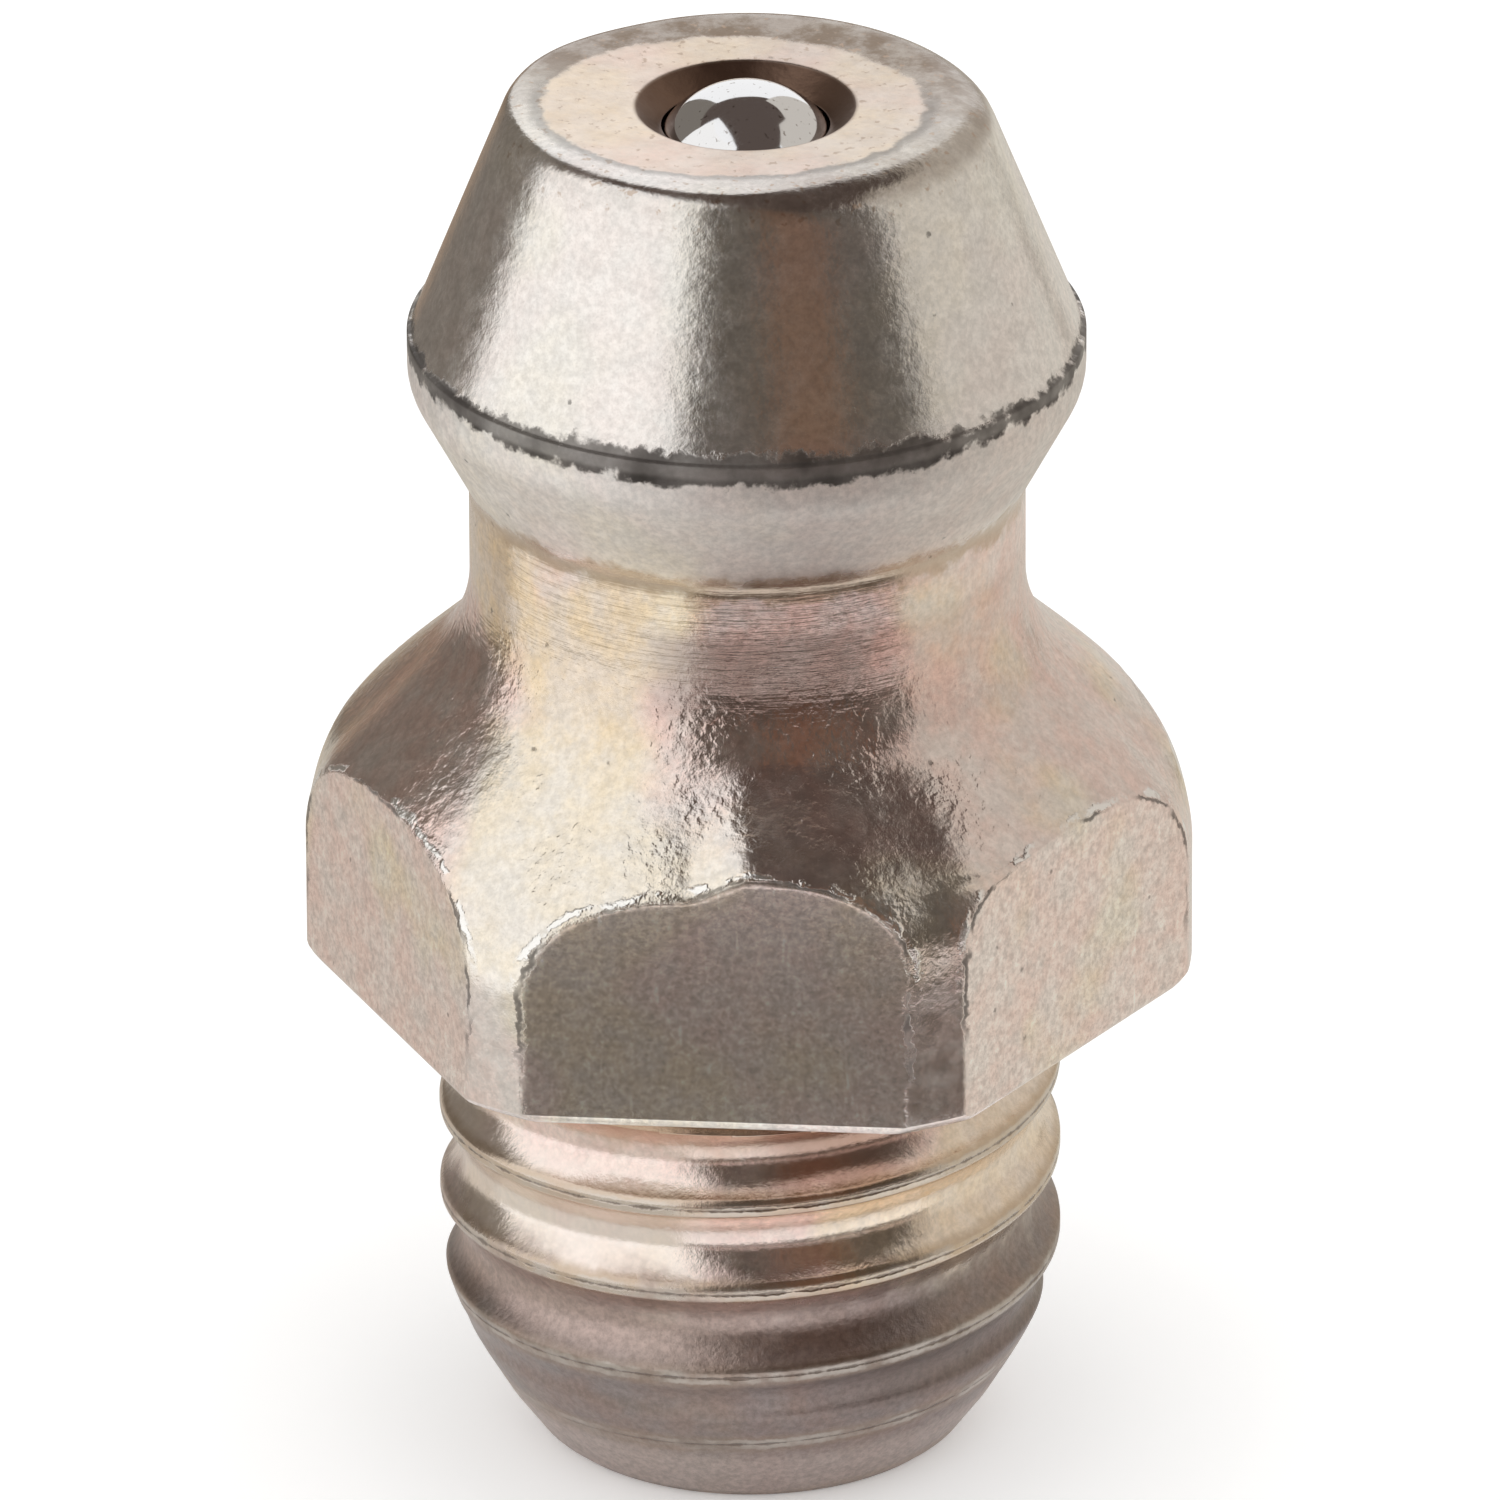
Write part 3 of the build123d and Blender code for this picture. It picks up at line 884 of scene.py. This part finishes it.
spring_low, spring_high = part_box("spring")
spring_foot = spring_low.z / MM + WIRE_RADIUS
spring_head = spring_high.z / MM - WIRE_RADIUS
total_turns = OPEN_TURNS + END_TURNS
along = np.linspace(0, total_turns, STEPS_PER_TURN * total_turns + 1)
open_part = np.clip(along - 1, 0, OPEN_TURNS)
open_share = open_part / OPEN_TURNS
open_share = open_share - PITCH_EASING * np.sin(2 * math.pi * open_share)
open_rise = spring_head - spring_foot - END_TURNS * CLOSED_PITCH
climb = spring_foot + CLOSED_PITCH * (along - open_part) + open_rise * open_share
across_wire = np.linspace(0, 2 * math.pi, WIRE_COLUMNS + 1)[None, :]
spring_grid = around_axis(
    COIL_RADIUS + WIRE_RADIUS * np.cos(across_wire),
    2 * math.pi * along[:, None],
    climb[:, None] + WIRE_RADIUS * np.sin(across_wire),
)
tips = spring_grid[[0, -1]].mean(1, keepdims=True) + 0 * spring_grid[[0, -1]]
spring_grid = np.concatenate([tips[:1], spring_grid, tips[1:]])
spring_mesh = sheet_mesh("coil_spring", spring_grid[:, ::-1])
spring = bpy.data.objects.new("coil_spring", spring_mesh)
scene.collection.objects.link(spring)
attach(spring, "nipple")
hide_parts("spring")
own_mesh(spring)

wire, nodes = start_metal("drawn_wire")
drawn = nodes.noise(scale=9.0)
colour = nodes.mix(drawn, WIRE_DARK, WIRE_LIGHT)
finish_metal(nodes, colour, nodes.ramp(drawn, *NOISE_SPAN, (0.22, 0.4)), drawn, WIRE_RELIEF_HEIGHT)
spring_mesh.materials.append(wire)

# Floor
# A plain pale sheet that the nipple stands on. A little glow brings it up to white for the camera,
# and less for reflections, and it keeps the nipple's shadow.
FLOOR_REACH = 2
FLOOR_COLOUR = (0.98, 0.98, 0.975)
CAMERA_GLOW = 0.2
REFLECTED_GLOW = 0.05

floor_mesh = bpy.data.meshes.new("floor")
floor_corners = [(-1, -1), (1, -1), (1, 1), (-1, 1)]
floor_points = [(right * FLOOR_REACH, back * FLOOR_REACH, 0) for right, back in floor_corners]
floor_mesh.from_pydata(floor_points, [], [(0, 1, 2, 3)])
floor = bpy.data.objects.new("floor", floor_mesh)
scene.collection.objects.link(floor)
floor_paint, nodes = start_material("floor")
rays = nodes.add("ShaderNodeLightPath", {}).outputs
glow = nodes.plus(
    nodes.times(rays["Is Camera Ray"], CAMERA_GLOW),
    nodes.times(rays["Is Glossy Ray"], REFLECTED_GLOW),
)
floor_wires = {
    "Base Color": FLOOR_COLOUR,
    "Roughness": 1.0,
    "Emission Color": PURE_WHITE,
    "Emission Strength": glow,
}
nodes.wire(nodes.tree.nodes["Principled BSDF"], floor_wires)
floor_mesh.materials.append(floor_paint)

# Studio
# A white tent of soft light. Boards stand outside the picture so that the metal has something
# darker to reflect than the tent: they are seen only in reflections and cast no shadow.
BOARD_DISTANCE = 200
BOARD_CENTRE_HEIGHT = 8.0
BOARD_ROWS = 8
BOARD_COLUMNS = 24
FLOOR_BOARD_COLUMNS = 32
FLOOR_BOARD_HEIGHT = 0.02

world = bpy.data.worlds.new("studio")
scene.world = world
world.use_nodes = True
world.node_tree.nodes["Background"].inputs["Color"].default_value = (*PURE_WHITE, 1)
camera_level = Vector((to_camera.x, to_camera.y, 0)).normalized()


def beside(right, forward, height):
    """Points at distances to the camera's right, towards the camera and up, all from the axis."""
    x = forward * camera_level.x + right * level_right.x
    y = forward * camera_level.y + right * level_right.y
    return np.stack(np.broadcast_arrays(x, y, height), -1)


def lay_board(name, mesh, colour):
    """Puts a board in the studio: seen only in reflections, with one even colour of its own."""
    thing = bpy.data.objects.new(name, mesh)
    scene.collection.objects.link(thing)
    thing.visible_camera = False
    thing.visible_diffuse = False
    thing.visible_shadow = False
    paint, nodes = start_material(name)
    nodes.tree.nodes.remove(nodes.tree.nodes["Principled BSDF"])
    glow = nodes.add("ShaderNodeEmission", {"Color": colour, "Strength": 1.0}).outputs[0]
    nodes.wire(nodes.tree.nodes["Material Output"], {"Surface": glow})
    mesh.materials.append(paint)


def board(name, edges, colour, closer=1.0):
    """A curved board at one distance from the nipple. Edges lists its left and right edge, from
    bottom to top, each as (bearing from the camera to the viewer's right, height angle)."""
    edges = np.radians(np.array(edges, float))
    steps = np.linspace(0, len(edges) - 1, BOARD_ROWS * (len(edges) - 1) + 1)
    columns = edges.reshape(len(edges), -1).T
    columns = [np.interp(steps, np.arange(len(edges)), column)[:, None] for column in columns]
    left_bearing, left_tilt, right_bearing, right_tilt = columns
    share = np.linspace(0, 1, BOARD_COLUMNS + 1)[None, :]
    bearing = left_bearing + (right_bearing - left_bearing) * share
    tilt = left_tilt + (right_tilt - left_tilt) * share
    points = beside(np.cos(tilt) * np.sin(bearing), np.cos(tilt) * np.cos(bearing), np.sin(tilt))
    points = points * closer * BOARD_DISTANCE + np.array([0, 0, BOARD_CENTRE_HEIGHT])
    lay_board(name, sheet_mesh(name, points), colour)


def flat_board(name, corners, height, colour):
    """A level board overhead. Corners are (right, towards the camera), as shares of its height above
    the nipple's head."""
    corners = np.array(corners, float) * height
    points = beside(corners[:, 0], corners[:, 1], HEAD_WIDEST + height) * MM
    mesh = bpy.data.meshes.new(name)
    mesh.from_pydata(points, [], [tuple(range(len(points)))])
    lay_board(name, mesh, colour)


def floor_board(name, bearings, near, far, colour):
    """A flat board just above the floor, over a range of bearings and of distances in millimetres."""
    bearing = np.radians(np.linspace(*bearings, FLOOR_BOARD_COLUMNS + 1))[None, :]
    reach = np.array([near, far])[:, None]
    points = beside(reach * np.sin(bearing), reach * np.cos(bearing), FLOOR_BOARD_HEIGHT)
    lay_board(name, sheet_mesh(name, points), colour)


FRONT = (-22, 64)
LEFT = (-106, -22)
RIGHT = (64, 176)
BEHIND_LEFT = (-165, -106)
FAR = 300
OVERHEAD_HEIGHT = 150
DARK = (0.12, 0.105, 0.092)
BROWN = (0.175, 0.112, 0.082)
GREY = (0.6, 0.56, 0.51)
WHITE = (1.0, 0.99, 0.97)
DIM = (0.2, 0.178, 0.155)
OVERHEAD = (0.1, 0.077, 0.067)
board("dark_board_in_front", [((-22, -6), (64, -6)), ((-22, 45), (64, 45)), ((-18, 58), (60, 58))], DARK)
board("brown_board_in_front", [((8, -6), (34, -6)), ((10, 50), (36, 50))], BROWN, closer=0.95)
flat_board(
    "dark_board_overhead",
    [
        (-0.3, 0.9), (-0.2, 0.6), (-0.26, 0.3), (-0.36, 0.0), (-0.46, -0.26), (-0.9, -0.3), (-1.5, -0.4),
        (-2.2, -2.0), (-0.9, -1.1), (-0.45, -0.84), (0.03, -0.87), (0.8, -1.1), (2.6, -3.0), (3.0, -2.6),
        (1.2, -0.8), (0.75, -0.45), (0.62, -0.15), (0.85, 0.5), (1.0, 0.9),
    ],
    OVERHEAD_HEIGHT,
    OVERHEAD,
)
board("grey_board_at_right", [((64, -6), (158, -6)), ((66, 51), (158, 51)), ((70, 60), (150, 60))], GREY)
left_edges = [((-106, -6), (-22, -6)), ((-108, 46), (-24, 46)), ((-114, 60), (-26, 60))]
board("white_board_at_left", left_edges, WHITE)
board("dark_board_behind_left", [((-162, -6), (-106, -6)), ((-150, 46), (-108, 46))], DIM)

floor_board("dark_floor_in_front", FRONT, 11, 21.5, (0.15, 0.13, 0.113))
floor_board("pink_floor_in_front", FRONT, 21.5, 29, (0.98, 0.88, 0.86))
floor_board("dim_floor_in_front", FRONT, 29, 40, (0.32, 0.27, 0.25))
floor_board("dimmer_floor_in_front", FRONT, 40, 75, (0.25, 0.21, 0.19))
floor_board("dark_floor_further_in_front", FRONT, 75, FAR, DARK)
floor_board("grey_floor_at_right", RIGHT, 5, FAR, (0.68, 0.65, 0.59))
floor_board("cream_floor_at_left", LEFT, 4, 19, (0.66, 0.64, 0.6))
floor_board("grey_floor_behind_left", (-180, -106), 5, 30, GREY)
floor_board("dark_floor_behind_left", BEHIND_LEFT, 30, FAR, DIM)
floor_board("brown_floor_behind", (165, 205), 30, FAR, (0.36, 0.27, 0.2))
floor_board("dark_floor_behind_right", (136, 144), 30, FAR, (0.3, 0.26, 0.22))
